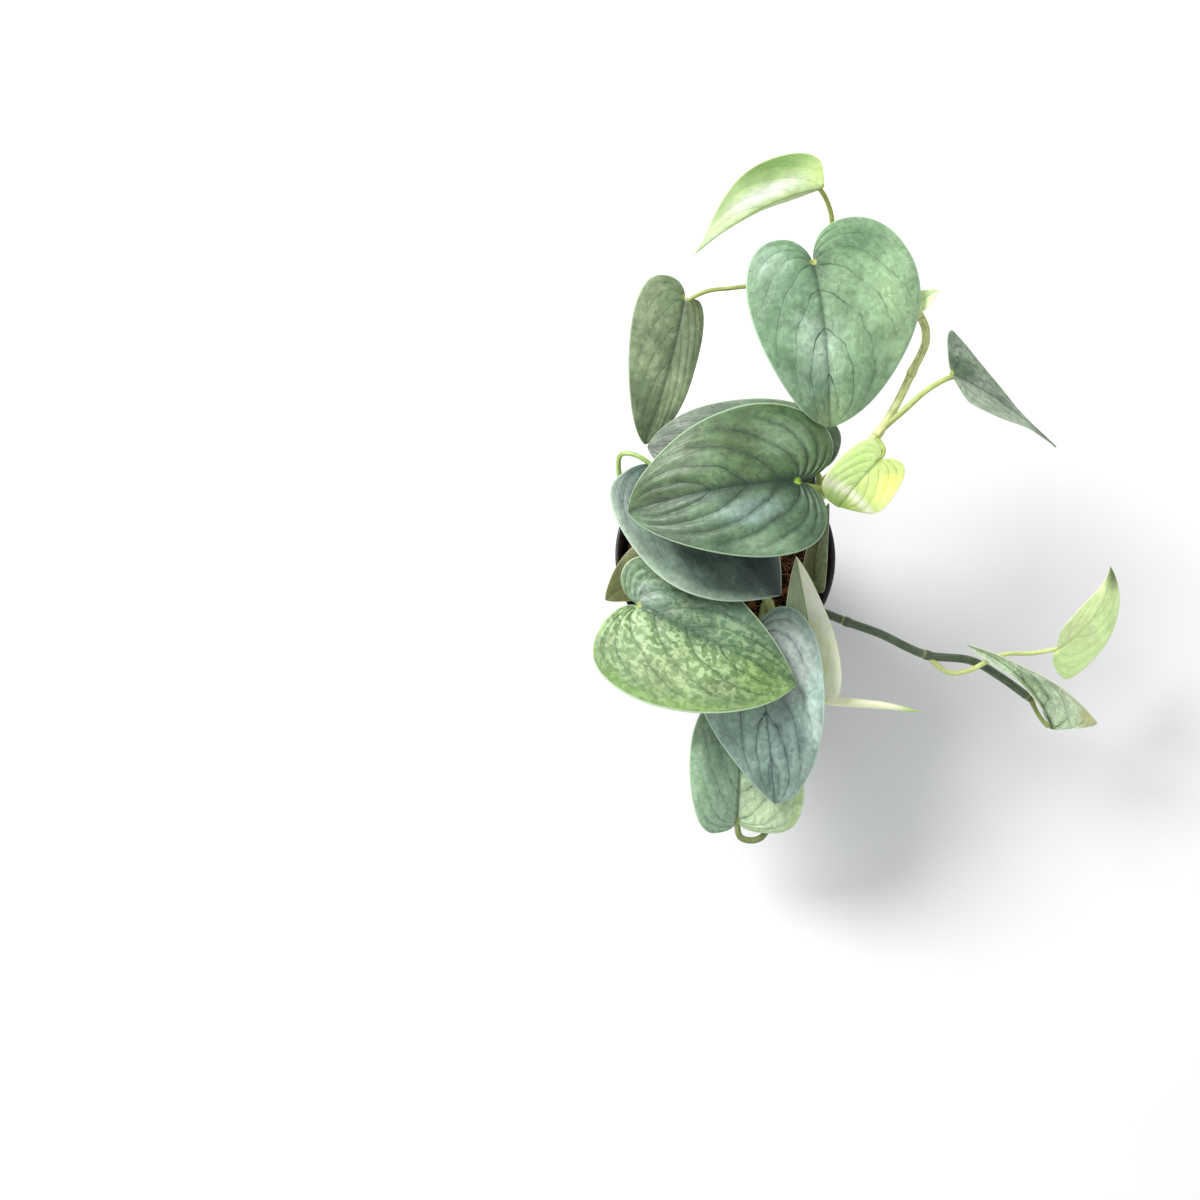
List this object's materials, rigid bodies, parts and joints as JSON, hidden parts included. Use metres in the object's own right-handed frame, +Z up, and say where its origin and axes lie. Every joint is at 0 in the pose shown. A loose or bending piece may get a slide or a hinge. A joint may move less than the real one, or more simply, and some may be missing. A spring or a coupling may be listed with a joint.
{
  "type": "potted silver hero scindapsus",
  "caption": "Young trailing aroid with silver, slate, green and lime heart-shaped leaves on arching stems, in a small tapered black nursery pot filled with potting mix.",
  "frame": {"origin": "centre of the pot's underside, on the surface it stands on", "axes": "+Z up, +X to the side the runner reaches out to, +Y to the back, where the tall stem arches over"},
  "size_m": [0.2497, 0.2904, 0.1938],
  "materials": {
    "pot_plastic": "satin",
    "potting_mix": "matte",
    "stem_green": "satin",
    "stem_runner": "satin",
    "leaf_silver": "satin",
    "leaf_green": "satin",
    "leaf_slate": "satin",
    "leaf_lime": "satin",
    "leaf_mint": "satin",
    "leaf_pale": "satin",
    "leaf_variegated": "satin",
    "leaf_dark": "satin",
    "leaf_olive": "satin"
  },
  "bodies": {
    "root": {"pot": "pot_plastic", "potting_mix": "potting_mix", "stem_back": "stem_green", "stem_middle": "stem_green", "stem_left": "stem_green", "stem_front": "stem_green", "stem_runner": "stem_runner", "leaf_heart_top": "leaf_silver", "leaf_lime_folded": "leaf_lime", "leaf_bud_small": "leaf_lime", "leaf_grey_left": "leaf_dark", "leaf_dark_right": "leaf_dark", "leaf_lime_centre": "leaf_lime", "leaf_green_centre": "leaf_green", "leaf_grey_under_centre": "leaf_slate", "leaf_slate_middle": "leaf_slate", "leaf_olive_small": "leaf_olive", "leaf_variegated": "leaf_variegated", "leaf_silver_front": "leaf_silver", "leaf_pale_upright": "leaf_pale", "leaf_mint_hanging": "leaf_mint", "leaf_narrow_rim": "leaf_dark", "leaf_runner_folded": "leaf_dark", "leaf_runner_young": "leaf_pale", "leaf_rolled_spear": "leaf_pale"}
  },
  "joints": []
}
